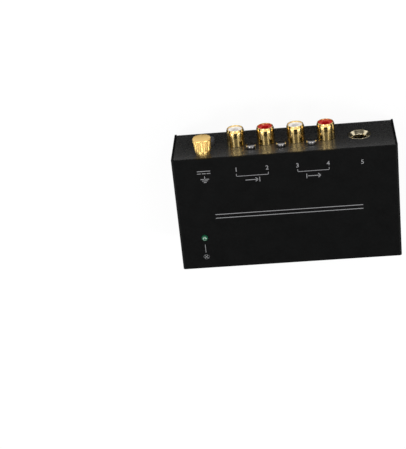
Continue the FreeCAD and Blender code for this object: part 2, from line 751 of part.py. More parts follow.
def thumb_nut():
    """Closed knurled nut: a plain base band, tapered flutes and a smooth top."""
    low = nut_base()
    top = PANEL_Y + NUT_PROUD
    flute_low = low + NUT_BASE_BAND
    flute_high = top - NUT_TOP_BAND
    base = rod_y(NUT_BASE_RADIUS - NUT_FLUTE_DEPTH, 0, 0, low, flute_low)
    knurl = faceted([fluted(NUT_BASE_RADIUS, flute_low),
                     fluted(NUT_TOP_RADIUS, flute_high)])
    band = rod_y(NUT_TOP_RADIUS, 0, 0, flute_high, top - NUT_CHAMFER)
    rings = [(NUT_TOP_RADIUS, 0), (NUT_TOP_RADIUS - NUT_CHAMFER, NUT_CHAMFER)]
    crown = tapered(2 * NUT_FLUTES, rings, point(0, top - NUT_CHAMFER, 0), Y_AXIS)
    nut = joined([base, knurl, band, crown])
    bore = rod_y(STUD_RADIUS + RUNNING_GAP, 0, 0, low - SHEET, top - STUD_TIP_GAP)
    nut = nut.cut(bore)
    nut.translate(point(GROUND_X, 0, GROUND_Z))
    return nut


def ground_lock_washer():
    low = PANEL_INSIDE - LOCK_WASHER
    disc = prism_y(MORE_SIDES, 2 * LOCK_WASHER_RADIUS, GROUND_X, GROUND_Z, low,
                   PANEL_INSIDE)
    return disc.cut(stud_tail(low, PANEL_INSIDE))


def lug_span():
    """Back and front face of the ground lug."""
    front = PANEL_INSIDE - LOCK_WASHER
    return front - LUG_THICKNESS, front


def ground_lug():
    """Ring terminal with a tail towards the side wall."""
    low, high = lug_span()
    tail = block((GROUND_X - LUG_REACH, GROUND_X - LUG_RADIUS / 2), (low, high),
                 (GROUND_Z - LUG_TAIL_WIDTH / 2, GROUND_Z + LUG_TAIL_WIDTH / 2))
    disc = prism_y(MORE_SIDES, 2 * LUG_RADIUS, GROUND_X, GROUND_Z, low, high)
    return joined([disc, tail]).cut(stud_tail(low, high))


def ground_nut():
    high = lug_span()[0]
    low = high - INNER_NUT
    nut = prism_y(6, INNER_NUT_ACROSS, GROUND_X, GROUND_Z, low, high)
    return nut.cut(stud_tail(low, high))


def ground_wire():
    """Insulated wire from the lug's tail, bent down to the board."""
    x = GROUND_X - LUG_REACH + LUG_TAIL_WIDTH / 2
    start = lug_span()[0]
    turn = start - WIRE_RUN
    centre = point(x, turn, GROUND_Z - WIRE_BEND)
    run = prism_y(FEW_SIDES, 2 * WIRE_RADIUS, x, GROUND_Z, turn, start)
    section = regular_face(FEW_SIDES, 2 * WIRE_RADIUS)
    section.Placement = FreeCAD.Placement(point(x, turn, GROUND_Z),
                                          FreeCAD.Rotation(Z_AXIS, Y_AXIS))
    bend = section.revolve(centre, X_AXIS, 90)
    drop = prism_z(FEW_SIDES, 2 * WIRE_RADIUS, x, turn - WIRE_BEND, BOARD_TOP, centre.z)
    return joined([run, bend, drop])


def led():
    """Domed lamp with a flange, standing on its spacer."""
    shoulder = LED_BASE + LED_FLANGE + LED_BODY - LED_RADIUS
    rings = [(LED_RADIUS, 0)]
    for i in range(LED_DOME_BANDS + 1):
        angle = math.radians(LED_DOME_REACH * i / LED_DOME_BANDS)
        rise = math.sin(angle) / math.sin(math.radians(LED_DOME_REACH))
        rings.append((LED_RADIUS * math.cos(angle), shoulder - LED_BASE + LED_RADIUS * rise))
    lamp = tapered(TAPER_SIDES, rings, point(LED_X, LED_Y, LED_BASE), Z_AXIS)
    flange = prism_z(FEW_SIDES, 2 * LED_FLANGE_RADIUS, LED_X, LED_Y, LED_BASE,
                     LED_BASE + LED_FLANGE)
    return joined([lamp, flange])


def led_leg_places():
    for side in (-1, 1):
        yield LED_X + side * LED_LEG_PITCH / 2, LED_Y


def leg(place, top):
    """Square leg through the board."""
    return bar(place, (LEG, LEG), (BOARD_BOTTOM - LEG_BELOW, top))


def led_legs():
    return Part.makeCompound([leg(place, LED_BASE) for place in led_leg_places()])


def led_spacer():
    """Plastic post that holds the lamp up to the cover, open for its two legs."""
    post = bar((LED_X, LED_Y), (SPACER_LENGTH, SPACER_WIDTH), (BOARD_TOP, LED_BASE))
    for place in led_leg_places():
        hole = LEG + 2 * LEG_CLEARANCE
        post = post.cut(bar(place, (hole, hole), (BOARD_TOP, LED_BASE)))
    return post


def chip_places():
    """Middle of each amplifier chip, left and right channel."""
    middle = (RCA_XS[0] + RCA_XS[-1]) / 2
    y = (BOARD_FRONT + BOARD_REAR) / 2 + CHIP_OFFSET
    return (middle - CHIP_GAP / 2, y), (middle + CHIP_GAP / 2, y)


def chip_leg_places(centre):
    """Place of each leg's sole, and the side of the chip that it is on."""
    for row in (-1, 1):
        for i in range(4):
            x = centre[0] + (i - 1.5) * CHIP_PITCH
            yield x, centre[1] + row * (CHIP_SPAN - CHIP_SOLE) / 2, row


def amplifier_chip(centre):
    """Surface-mounted chip: a moulded body with gull-wing legs in two rows."""
    low = BOARD_TOP + CHIP_LIFT
    high = low + CHIP_THICKNESS
    body = bar(centre, (CHIP_LENGTH, CHIP_WIDTH), (low, high))
    body = body.makeChamfer(CHIP_EASE, edges_along(
        body, X_AXIS, lambda middle: middle.z > low))
    pieces = [body]
    knee = low + CHIP_THICKNESS / 3
    sole = BOARD_TOP + CHIP_LEG_THICKNESS / 2
    for x, y, row in chip_leg_places(centre):
        inner = centre[1] + row * CHIP_WIDTH / 2
        edge = y - row * CHIP_SOLE / 2
        points = [(inner, knee), (edge, knee), (edge, sole), (edge + row * CHIP_SOLE, sole)]
        pieces.append(strip(points, CHIP_LEG_THICKNESS, CHIP_LEG_WIDTH, x))
    return Part.makeCompound(pieces)


def can(x, y, radius, height):
    """Electrolytic capacitor."""
    return prism_z(MORE_SIDES, 2 * radius, x, y, BOARD_TOP, BOARD_TOP + height)


def big_can_place():
    return LED_X + LED_RADIUS + BIG_CAN_RADIUS + LED_TO_CAN, CAN_Y


def small_can_places():
    first = big_can_place()[0] + BIG_CAN_RADIUS + SMALL_CAN_RADIUS + CAN_GAP
    return [(first + i * SMALL_CAN_PITCH, CAN_Y) for i in range(SMALL_CAN_COUNT)]


def film_capacitors():
    """Moulded film capacitors in a row behind the phono sockets."""
    made = []
    y = PANEL_INSIDE - BLOCK_DEPTH - FILM_GAP - FILM_WIDTH / 2
    left, right = RCA_XS[0], RCA_XS[-1]
    for i in range(FILM_COUNT):
        x = left + (right - left) * i / (FILM_COUNT - 1)
        body = bar((x, y), (FILM_LENGTH, FILM_WIDTH), (BOARD_TOP, BOARD_TOP + FILM_HEIGHT))
        made.append(body.makeChamfer(FILM_EASE, edges_along(
            body, Y_AXIS, lambda middle: middle.z > BOARD_TOP)))
    return Part.makeCompound(made)


def resistors():
    """Row of surface-mounted resistors."""
    y = CAN_Y + SMALL_CAN_RADIUS + CAN_GAP + RESISTOR_WIDTH
    middle = (RCA_XS[0] + RCA_XS[-1]) / 2
    first = middle - RESISTOR_PITCH * (RESISTOR_COUNT - 1) / 2
    z = (BOARD_TOP, BOARD_TOP + RESISTOR_THICKNESS)
    return Part.makeCompound([
        bar((first + i * RESISTOR_PITCH, y), (RESISTOR_WIDTH, RESISTOR_LENGTH), z)
        for i in range(RESISTOR_COUNT)])


def supply_diode():
    """Diode lying along Y, with its two leads bent down to the board."""
    x = DC_X - DC_BODY_WIDTH / 4
    y = DC_BODY_BACK - DIODE_SPAN / 2 - DIODE_GAP
    z = BOARD_TOP + DIODE_RADIUS
    ends = (y - DIODE_LENGTH / 2, y + DIODE_LENGTH / 2)
    pieces = [prism_y(MORE_SIDES, 2 * DIODE_RADIUS, x, z, *ends)]
    for side, end in zip((-1, 1), ends):
        foot_y = y + side * DIODE_SPAN / 2
        points = [(end, z), (foot_y, z), (foot_y, BOARD_TOP)]
        pieces.append(strip(points, LEG, LEG, x))
    return Part.makeCompound(pieces)


def regulator_place():
    x = DC_X + DC_BODY_WIDTH / 2 + REGULATOR_THICKNESS / 2
    y = DC_BODY_BACK - REGULATOR_WIDTH / 2 - REGULATOR_GAP
    return x, y


def voltage_regulator():
    """Regulator standing on three legs, its metal tab above the moulded body."""
    x, y = regulator_place()
    low = BOARD_TOP + REGULATOR_LIFT
    high = low + REGULATOR_HEIGHT
    body = bar((x, y), (REGULATOR_THICKNESS, REGULATOR_WIDTH), (low, high))
    body = body.makeChamfer(REGULATOR_EASE, edges_along(
        body, Y_AXIS, lambda middle: middle.x > x))
    plate_x = x - REGULATOR_THICKNESS / 2 + REGULATOR_TAB / 2
    tab = bar((plate_x, y), (REGULATOR_TAB, REGULATOR_WIDTH),
              (high, high + REGULATOR_TAB_HEIGHT))
    hole = prism(FEW_SIDES, 2 * REGULATOR_HOLE, point(
        plate_x - REGULATOR_TAB, y, high + REGULATOR_TAB_HEIGHT / 2), X_AXIS,
        2 * REGULATOR_TAB)
    pieces = [body, tab.cut(hole)]
    for place in regulator_leg_places():
        pieces.append(bar(place, (LEG, REGULATOR_LEG_WIDTH), (BOARD_TOP, low)))
    return Part.makeCompound(pieces)


def regulator_leg_places():
    x, y = regulator_place()
    return [(x, y + i * REGULATOR_LEG_PITCH) for i in (-1, 0, 1)]


def circuit_board():
    """Board with its corners cut, screw holes and holes for the lamp's legs."""
    board = block((-BOARD_X, BOARD_X), (BOARD_FRONT, BOARD_REAR),
                  (BOARD_BOTTOM, BOARD_TOP))
    board = board.makeChamfer(BOARD_CORNER, edges_along(board, Z_AXIS, lambda middle: True))
    for x, y in standoff_places():
        board = board.cut(prism_z(FEW_SIDES, 2 * (BOARD_SCREW_RADIUS + SEAM), x, y,
                                  BOARD_BOTTOM, BOARD_TOP))
    hole = LEG + 2 * LEG_CLEARANCE
    for place in led_leg_places():
        board = board.cut(bar(place, (hole, hole), (BOARD_BOTTOM, BOARD_TOP)))
    return board


def foot_places():
    """Name and place of each foot."""
    x = WIDTH / 2 - FOOT_INSET
    for end, y in (("front", FRONT_Y + FOOT_INSET), ("rear", PANEL_Y - FOOT_INSET)):
        for name, side in (("left", -1), ("right", 1)):
            yield f"foot_{end}_{name}", side * x, y


def make_nodes():
    """Every sub-part's solid under its name."""
    nodes = {"chassis": chassis(), "cover": cover(), "cover_screws": cover_screws(),
             "standoffs": standoffs(), "circuit_board": circuit_board(),
             "board_screws": board_screws()}
    for name, x, y in foot_places():
        nodes[name] = foot(x, y)
    nodes["rca_block"] = rca_block()
    for name, x in zip(RCA_NAMES, RCA_XS):
        nodes["rca_shell_" + name] = rca_shell(x)
        nodes["rca_insulator_" + name] = rca_insulator(x)
        nodes["rca_contact_" + name] = rca_contact(x)
    nodes["panel_screws"] = panel_screws()
    nodes["phone_jack_body"] = phone_body()
    nodes["phone_jack_ring"] = phone_ring()
    sleeve, tip = phone_spring_spans()
    nodes["phone_jack_sleeve_spring"] = phone_spring(*sleeve)
    nodes["phone_jack_tip_spring"] = phone_spring(*tip)
    nodes["dc_inlet_body"] = dc_body()
    nodes["dc_inlet_pin"] = dc_pin()
    nodes["dc_inlet_spring"] = dc_spring()
    nodes["ground_stud"] = ground_stud()
    nodes["ground_washer"] = ground_washer()
    nodes["thumb_nut"] = thumb_nut()
    nodes["ground_lock_washer"] = ground_lock_washer()
    nodes["ground_lug"] = ground_lug()
    nodes["ground_nut"] = ground_nut()
    nodes["ground_wire"] = ground_wire()
    nodes["led"] = led()
    nodes["led_legs"] = led_legs()
    nodes["led_spacer"] = led_spacer()
    for name, centre in zip(("left", "right"), chip_places()):
        nodes["amplifier_chip_" + name] = amplifier_chip(centre)
    nodes["supply_capacitor"] = can(*big_can_place(), BIG_CAN_RADIUS, BIG_CAN_HEIGHT)
    for i, place in enumerate(small_can_places(), 1):
        nodes[f"coupling_capacitor_{i}"] = can(*place, SMALL_CAN_RADIUS, SMALL_CAN_HEIGHT)
    nodes["film_capacitors"] = film_capacitors()
    nodes["resistors"] = resistors()
    nodes["supply_diode"] = supply_diode()
    nodes["voltage_regulator"] = voltage_regulator()
    return nodes


def main():
    os.makedirs("parts", exist_ok=True)
    for name, shape in make_nodes().items():
        shape.exportStep(f"parts/{name}.step")
        valid = shape.isValid()
        print(f"{name}: {len(shape.Solids)} solids, {shape.Volume:.1f} mm3, valid {valid}")


main()
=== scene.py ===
import bpy
import bmesh
import json
import math
from mathutils import Matrix, Vector


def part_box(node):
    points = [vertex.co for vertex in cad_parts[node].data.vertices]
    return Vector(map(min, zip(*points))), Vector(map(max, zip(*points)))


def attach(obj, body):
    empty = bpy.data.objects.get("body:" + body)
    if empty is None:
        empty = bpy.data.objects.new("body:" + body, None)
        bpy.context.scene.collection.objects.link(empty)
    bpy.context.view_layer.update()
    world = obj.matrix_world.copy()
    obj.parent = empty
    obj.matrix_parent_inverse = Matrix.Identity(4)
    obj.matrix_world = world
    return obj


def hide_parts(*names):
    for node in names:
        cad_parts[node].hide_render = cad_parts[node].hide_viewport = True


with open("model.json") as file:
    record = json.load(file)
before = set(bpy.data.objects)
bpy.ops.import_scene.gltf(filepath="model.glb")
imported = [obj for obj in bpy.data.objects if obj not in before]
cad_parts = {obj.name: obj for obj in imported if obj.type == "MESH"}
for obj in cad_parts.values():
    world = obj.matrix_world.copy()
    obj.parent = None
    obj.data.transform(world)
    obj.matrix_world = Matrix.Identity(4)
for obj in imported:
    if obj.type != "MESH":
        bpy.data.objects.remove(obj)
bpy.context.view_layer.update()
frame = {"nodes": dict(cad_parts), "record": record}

# Lengths are metres, angles degrees, unless a name or a heading says otherwise
MM = 0.001

# The photograph's camera, solved from the box's corners
CAMERA_PLACE = Vector((13.06, 285.26, 608.49)) * MM
CAMERA_TURN = (-27.370, 2.422, -5.613)
CAMERA_LENS_MM = 110.57
SENSOR_MM = 36.0
CLIP_START = 0.01
CLIP_END = 20.0

# Turned pieces: faces around, steps of a rounded corner, angle past which edges stay sharp
AROUND = 96
FOOT_AROUND = 48
COVER_SCREW_AROUND = 64
CORNER_STEPS = 4
SHARP = math.radians(32)

# Ways in which turned pieces point
OUTWARDS = (0, 1, 0)
UPWARDS = (0, 0, 1)

# Phono sockets
RCA_NAMES = ("input_left", "input_right", "output_left", "output_right")
RCA_RADIUS = 4.15 * MM
RCA_INNER = 3.4 * MM
RCA_NECK = 3.8 * MM
RCA_NECK_LENGTH = 1.0 * MM
RCA_RIM = 3.72 * MM
RCA_RIM_LENGTH = 1.15 * MM
RCA_FLANGE = 1.2 * MM
RCA_HOLE = 1.65 * MM
RCA_SHELL_ROUND = 0.12 * MM
RCA_INSULATOR_ROUND = 0.22 * MM

# Cross recesses, which narrow downwards
CROSS_REACH = 1.55 * MM
CROSS_WIDTH = 0.80 * MM
CROSS_DEPTH = 1.1 * MM
CROSS_BOTTOM_SHARE = 0.45
CROSS_TOP_SHARE = 1.1
CROSS_WIDTH_TAPER = 0.3

# Panel screws, with a low crown. Turns are radians.
SCREW_EDGE = 0.55 * MM
SCREW_CROWN = 0.12 * MM
SCREW_CROWN_DROP_SHARE = 0.3
SCREW_CROWN_RADIUS_SHARE = 0.55
SCREW_TURN = 0.5
SCREW_TURN_STEP = 0.7

# Thumb nut
NUT_FLUTES = 22
NUT_FLUTE_DEPTH = 0.24 * MM
NUT_FLUTE_SIDES = 12
NUT_FLUTE_POWER = 1.3
NUT_BASE_BAND = 0.6 * MM
NUT_TOP_BAND = 0.45 * MM
NUT_BASE_RADIUS = 3.7 * MM
NUT_BEVEL = 0.1 * MM
NUT_BORE = 2.05 * MM
NUT_ROUND = 0.3 * MM

# 6.35 mm socket's ring and the lamp
RING_BORE = 3.25 * MM
RING_MOUTH = 4.85 * MM
RING_LEDGE = 0.15 * MM
RING_MOUTH_DEPTH = 1.35 * MM
RING_ROUND = 0.12 * MM
LED_FLANGE = 0.8 * MM
LED_RADIUS = 1.5 * MM
LED_STEPS = 12

# Feet, with a shallow hollow that flares at its edge, and a tread around it
FOOT_ROUND = 0.5 * MM
FOOT_HOLLOW = 1.6 * MM
FOOT_HOLLOW_DEPTH = 0.35 * MM
FOOT_HOLLOW_EDGE = 0.3 * MM
FOOT_HOLLOW_FLARE = 1.15
FOOT_TREAD_SHARE = 0.86

# Countersunk cover screws, with a smaller cross. Turns are radians.
COVER_SCREW_SHANK = 1.25 * MM
COVER_SCREW_LENGTH = 4.0 * MM
COVER_SCREW_LIP = 0.06 * MM
COVER_SCREW_ROUND = 0.08 * MM
COVER_SCREW_FACE_SHARE = 0.98
COVER_CROSS_SHARE = 0.9
COVER_SCREW_TURN = 0.4
COVER_SCREW_SIDE_TURN = 0.6
SHEET = 1.0 * MM

# Grey print on the top: lift above the paint, widths of line and size of the digits
PRINT_LIFT = 0.02 * MM
LINE = 0.32 * MM
FINE_LINE = 0.24 * MM
DIGIT_HEIGHT = 2.1 * MM
DIGIT_SHARE_OF_FONT = 0.70
DIGIT_SWELL = 0.01

# Places of the print, millimetres from the top's middle
DIGIT_PLACES = {"1": (-22.35, 21.9), "2": (-8.05, 21.9), "3": (5.9, 21.9),
                "4": (20.0, 21.9), "5": (35.6, 21.4)}
INPUT_BRACKET = ((-22.45, -7.65), 18.6)
OUTPUT_BRACKET = ((5.9, 20.3), 18.8)
INPUT_ARROW = (-15.1, 16.4)
OUTPUT_ARROW = (13.1, 16.3)
CURRENT_X = (-40.3, -34.5)
CURRENT_Y = 22.3
DASH_Y = 21.1
GROUND_X = -37.2
GROUND_STEM_Y = (19.6, 18.2)
LAMP_LINE = ((-40.35, -16.0), (-40.3, -20.0))
LAMP_MARK = (-40.3, -22.4)
RULE_X = (-33.8, 34.8)
RULE_Y = (-0.4, -2.3)

# Sizes of the print in millimetres. A ground bar is its half length and its y.
BRACKET_TICK = 1.1
ARROW_HALF = 3.25
ARROW_HEAD = 1.1
ARROW_SPREAD = 0.88
ARROW_GAP = 0.7
ARROW_BAR_HALF = 1.0
DASHES = 3
DASH_LENGTH = 1.4
DASH_STEP = 2.2
GROUND_BARS = ((1.8, 18.2), (1.15, 17.4), (0.5, 16.6))
LAMP_MARK_RADIUS = 1.25
LAMP_MARK_SIDES = 20

# Textures: how many of their features fit in a metre, and the middle range of their values
PAINT_TINT, PAINT_GLOSS, PAINT_PEEL = 900, 160, 2600
METAL_TINT, METAL_GLOSS, METAL_GRAIN = 500, 1200, 3000
PLASTIC_TINT, PLASTIC_GLOSS, PLASTIC_GRAIN = 400, 700, 1800
BOARD_AREAS, BOARD_GLOSS = 220, 500
RESIN_GRAIN = 900
PRINT_GRAIN = 2500
NOISE_LOW, NOISE_HIGH = 0.3, 0.7

# Heights of the bumps, and the strength of the fainter ones
PAINT_PEEL_HEIGHT = 0.012 * MM
METAL_GRAIN_HEIGHT, METAL_GRAIN_STRENGTH = 0.002 * MM, 0.6
PLASTIC_GRAIN_HEIGHT = 0.01 * MM
RUBBER_GRAIN_HEIGHT = 0.03 * MM
BOARD_AREA_HEIGHT, BOARD_AREA_STRENGTH = 0.03 * MM, 0.3

# Studio lights, turned to LIT_POINT: place on the +X side, size and watts of each pair
LIT_POINT = (0, 0, 0.02)
STRIP_BOX = ((0.66, -0.2, 0.74), (0.22, 1.2), 6.0)
REAR_BOX = ((0.50, 0.62, 0.88), (0.26, 0.26), 2.6)

# Dark cards at the sides, at the far end and overhead, and a painted shadow on the floor past
# the panel: a dark card for the part's own shadow there, which the panel and the metal mirror
CARD_X = 1.1
CARD_Y = 1.3
CARD_HEIGHT = 0.5
CARD_GREY = 0.01
FAR_CARD_GREY = 0.10
OVERHEAD_X = 0.42
OVERHEAD_Y = (-1.6, 0.0)
OVERHEAD_Z = 0.95
# Painted shadow: the dark card on the floor past the panel stands for the part's own shadow
# there
SHADOW_CARD_X = 0.10
SHADOW_CARD_GAP = 0.0005
SHADOW_CARD_DEPTH = 0.016
SHADOW_CARD_Z = 0.0015
SHADOW_CARD_GREY = 0.03

# Floor and world
FLOOR_REACH = 6.0
FLOOR_GREY = 0.8
FLOOR_ROUGHNESS = 0.9
FLOOR_WHITE_SHARE = 0.92
WORLD_FILL = 0.6
WHITE = (1, 1, 1, 1)


def middle(node):
    low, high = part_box(node)
    return (low + high) / 2


# Height of the cover's top, place of its side with the panel, and the middle of its top
COVER_LOW, COVER_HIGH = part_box("cover")
TOP = COVER_HIGH.z
PANEL = COVER_HIGH.y
FACE = Vector((0, (COVER_LOW.y + COVER_HIGH.y) / 2, TOP))


# Small helpers for node materials

class Shader:
    """A material's node tree, with short calls for the nodes used here."""

    def __init__(self, name):
        self.material = bpy.data.materials.new(name)
        self.material.use_nodes = True
        self.tree = self.material.node_tree
        self.surface = self.tree.nodes["Principled BSDF"]

    def link(self, source, target):
        self.tree.links.new(source, target)

    def set(self, **values):
        for key, value in values.items():
            self.surface.inputs[key.replace("_", " ")].default_value = value

    def texture(self, kind, output, **values):
        """Output of a texture node placed by the object's own coordinates."""
        made = self.tree.nodes.new(kind)
        for key, value in values.items():
            made.inputs[key].default_value = value
        coordinates = self.tree.nodes.new("ShaderNodeTexCoord")
        self.link(coordinates.outputs["Object"], made.inputs["Vector"])
        return made.outputs[output]

    def noise(self, scale, detail=3.0):
        return self.texture("ShaderNodeTexNoise", "Fac", Scale=scale, Detail=detail)

    def cells(self, scale):
        return self.texture("ShaderNodeTexVoronoi", "Distance", Scale=scale)

    def spread(self, source, low, high):
        """source's middle range, stretched to run from low to high."""
        made = self.tree.nodes.new("ShaderNodeMapRange")
        made.inputs["From Min"].default_value = NOISE_LOW
        made.inputs["From Max"].default_value = NOISE_HIGH
        made.inputs["To Min"].default_value = low
        made.inputs["To Max"].default_value = high
        self.link(source, made.inputs["Value"])
        return made.outputs["Result"]

    def blend(self, source, first, second):
        """Colour between first and second as source runs over its middle range."""
        ramp = self.tree.nodes.new("ShaderNodeValToRGB")
        ramp.color_ramp.elements[0].position = NOISE_LOW
        ramp.color_ramp.elements[1].position = NOISE_HIGH
        ramp.color_ramp.elements[0].color = (*first, 1)
        ramp.color_ramp.elements[1].color = (*second, 1)
        self.link(source, ramp.inputs["Fac"])
        return ramp.outputs["Color"]

    def bump(self, source, distance, strength=1.0):
        made = self.tree.nodes.new("ShaderNodeBump")
        made.inputs["Distance"].default_value = distance
        made.inputs["Strength"].default_value = strength
        self.link(source, made.inputs["Height"])
        self.link(made.outputs["Normal"], self.surface.inputs["Normal"])

    def colour(self, source):
        self.link(source, self.surface.inputs["Base Color"])

    def rough(self, source):
        self.link(source, self.surface.inputs["Roughness"])


def powder_coat(name, dark, light, rough_low, rough_high, shine):
    """Painted steel: fine orange-peel bump and slight unevenness in its gloss."""
    made = Shader(name)
    made.set(Metallic=0.0, Specular_IOR_Level=shine)
    made.colour(made.blend(made.noise(PAINT_TINT), dark, light))
    made.rough(made.spread(made.noise(PAINT_GLOSS), rough_low, rough_high))
    made.bump(made.noise(PAINT_PEEL, detail=2), PAINT_PEEL_HEIGHT)
    return made.material


def plated(name, dark, light, rough_low, rough_high):
    """Plated or bare metal, slightly uneven in tint and gloss, with a very fine grain."""
    made = Shader(name)
    made.set(Metallic=1.0)
    made.colour(made.blend(made.noise(METAL_TINT), dark, light))
    made.rough(made.spread(made.noise(METAL_GLOSS), rough_low, rough_high))
    made.bump(made.noise(METAL_GRAIN), METAL_GRAIN_HEIGHT, METAL_GRAIN_STRENGTH)
    return made.material


def moulded(name, dark, light, rough_low, rough_high, shine=0.5, grain=PLASTIC_GRAIN_HEIGHT):
    """Moulded plastic or rubber with a fine texture."""
    made = Shader(name)
    made.set(Metallic=0.0, Specular_IOR_Level=shine)
    made.colour(made.blend(made.noise(PLASTIC_TINT), dark, light))
    made.rough(made.spread(made.noise(PLASTIC_GLOSS), rough_low, rough_high))
    made.bump(made.noise(PLASTIC_GRAIN), grain)
    return made.material


def board_material():
    """Solder mask over copper areas, a shade apart."""
    made = Shader("solder_mask")
    made.set(Metallic=0.0, Specular_IOR_Level=0.5)
    made.colour(made.blend(made.cells(BOARD_AREAS), (0.012, 0.10, 0.03), (0.02, 0.17, 0.05)))
    made.rough(made.spread(made.noise(BOARD_GLOSS), 0.25, 0.4))
    made.bump(made.cells(BOARD_AREAS), BOARD_AREA_HEIGHT, BOARD_AREA_STRENGTH)
    return made.material


def lamp_material():
    """Green resin with a glossy skin and a faint glow."""
    made = Shader("green_resin")
    made.set(Metallic=0.0, Specular_IOR_Level=1.0, IOR=1.5)
    made.colour(made.blend(made.noise(RESIN_GRAIN), (0.002, 0.05, 0.022), (0.004, 0.09, 0.04)))
    made.rough(made.spread(made.noise(RESIN_GRAIN), 0.05, 0.12))
    made.set(Emission_Color=(0.02, 0.30, 0.12, 1), Emission_Strength=0.06)
    made.set(Coat_Weight=1.0, Coat_Roughness=0.04)
    return made.material


def print_material():
    """Grey screen print with slightly uneven cover."""
    made = Shader("grey_print")
    made.set(Metallic=0.0, Specular_IOR_Level=0.2)
    made.colour(made.blend(made.noise(PRINT_GRAIN), (0.15, 0.15, 0.155), (0.22, 0.22, 0.225)))
    made.rough(made.spread(made.noise(PRINT_GRAIN), 0.55, 0.7))
    return made.material


# Finishes: darkest and lightest colour, then the lowest and highest roughness

# The cover and the panel are one black paint: the cover's very dark colour is painted shade,
# and the panel's lighter colour is painted light.
COVER_PAINT_SHADED = powder_coat("cover_paint_painted_shade", (0.0016, 0.0017, 0.0017), (0.0025, 0.0026, 0.0026),
                          0.40, 0.48, shine=0.06)
PANEL_PAINT_LIT = powder_coat("panel_paint_painted_light", (0.015, 0.015, 0.0148), (0.020, 0.020, 0.0197),
                          0.24, 0.30, shine=0.50)
GOLD = plated("gold_plate", (0.86, 0.60, 0.20), (1.0, 0.74, 0.33), 0.10, 0.18)
KNURLED_GOLD = plated("knurled_gold", (0.88, 0.58, 0.19), (0.94, 0.66, 0.24), 0.36, 0.42)
NICKEL = plated("nickel_plate", (0.70, 0.67, 0.61), (0.82, 0.79, 0.73), 0.10, 0.16)
# Nickel darkened for the panel screws: painted shade, standing for the dark surroundings that
# the heads mirror.
NICKEL_PAINTED_SHADE = plated("nickel_painted_shade", (0.28, 0.27, 0.27), (0.36, 0.35, 0.35), 0.12, 0.18)
WARM_NICKEL = plated("warm_nickel", (0.72, 0.63, 0.42), (0.84, 0.75, 0.53), 0.14, 0.20)
STEEL = plated("zinc_steel", (0.45, 0.45, 0.47), (0.62, 0.62, 0.63), 0.28, 0.42)
BLACK_STEEL = plated("black_oxide", (0.02, 0.02, 0.02), (0.05, 0.05, 0.05), 0.3, 0.4)
BLACK_PLASTIC = moulded("black_plastic", (0.010, 0.010, 0.010), (0.018, 0.018, 0.018),
                        0.38, 0.5)
# Black plastic of the power inlet: its higher gloss is real, but its colour is lifted above
# the other black plastic as a painted highlight for the light its nose catches.
GLOSSY_PLASTIC_PAINTED_SHEEN = moulded("glossy_plastic_painted_sheen", (0.050, 0.050, 0.052), (0.062, 0.062, 0.064),
                         0.18, 0.26)
WHITE_PLASTIC = moulded("white_plastic", (0.82, 0.80, 0.78), (0.88, 0.86, 0.84), 0.25, 0.35)
RED_PLASTIC = moulded("red_plastic", (0.40, 0.006, 0.006), (0.50, 0.010, 0.009), 0.35, 0.45,
                      shine=0.25)
RUBBER = moulded("rubber", (0.012, 0.012, 0.012), (0.022, 0.022, 0.022), 0.6, 0.75,
                 shine=0.3, grain=RUBBER_GRAIN_HEIGHT)
SLEEVE = moulded("can_sleeve", (0.010, 0.014, 0.05), (0.016, 0.022, 0.08), 0.2, 0.3)
FILM = moulded("film_case", (0.42, 0.08, 0.015), (0.55, 0.13, 0.03), 0.25, 0.35)
WIRE = moulded("wire_sleeve", (0.08, 0.30, 0.05), (0.12, 0.42, 0.08), 0.3, 0.4)
BOARD = board_material()
LAMP = lamp_material()
PRINT = print_material()

SLOT_MATERIALS = {
    "black_cover": COVER_PAINT_SHADED, "black_steel": PANEL_PAINT_LIT, "zinc_steel": STEEL,
    "black_screw": BLACK_STEEL, "nickel": NICKEL, "rubber": RUBBER, "board": BOARD,
    "black_moulding": BLACK_PLASTIC, "gold": GOLD, "white_insulator": WHITE_PLASTIC,
    "red_insulator": RED_PLASTIC, "green_lamp": LAMP, "wire_sleeve": WIRE,
    "capacitor_sleeve": SLEEVE, "film_case": FILM,
}
NODE_MATERIALS = {
    "ground_stud": KNURLED_GOLD, "ground_washer": KNURLED_GOLD,
    "dc_inlet_body": GLOSSY_PLASTIC_PAINTED_SHEEN,
}


def dress_nodes():
    """Gives every CAD node its own finish, or else the one of its slot in the record."""
    for part in frame["record"]["subparts"]:
        finish = NODE_MATERIALS.get(part["node"], SLOT_MATERIALS[part["material_slot"]])
        thing = frame["nodes"][part["node"]]
        thing.data.materials.clear()
        thing.data.materials.append(finish)


# Meshes and where they stand

def new_object(name, data):
    made = bpy.data.objects.new(name, data)
    bpy.context.scene.collection.objects.link(made)
    return made


def finished_mesh(name, shape, material=None):
    """Mesh from a bmesh, which is freed."""
    mesh = bpy.data.meshes.new(name)
    shape.to_mesh(mesh)
    shape.free()
    if material:
        mesh.materials.append(material)
    return mesh


def shade(mesh):
    mesh.shade_smooth()
    mesh.set_sharp_from_angle(angle=SHARP)


def softened(corners, reach):
    """Outline with each inner corner rounded, starting reach before it."""
    points = [Vector(corners[0])]
    for before, corner, after in zip(corners, corners[1:], corners[2:]):
        before, corner, after = Vector(before), Vector(corner), Vector(after)
        back, on = before - corner, after - corner
        cut = min(reach, back.length / 2, on.length / 2)
        start, end = corner + back.normalized() * cut, corner + on.normalized() * cut
        for i in range(CORNER_STEPS + 1):
            t = i / CORNER_STEPS
            points.append(start * (1 - t) ** 2 + corner * 2 * t * (1 - t) + end * t ** 2)
    points.append(Vector(corners[-1]))
    return points


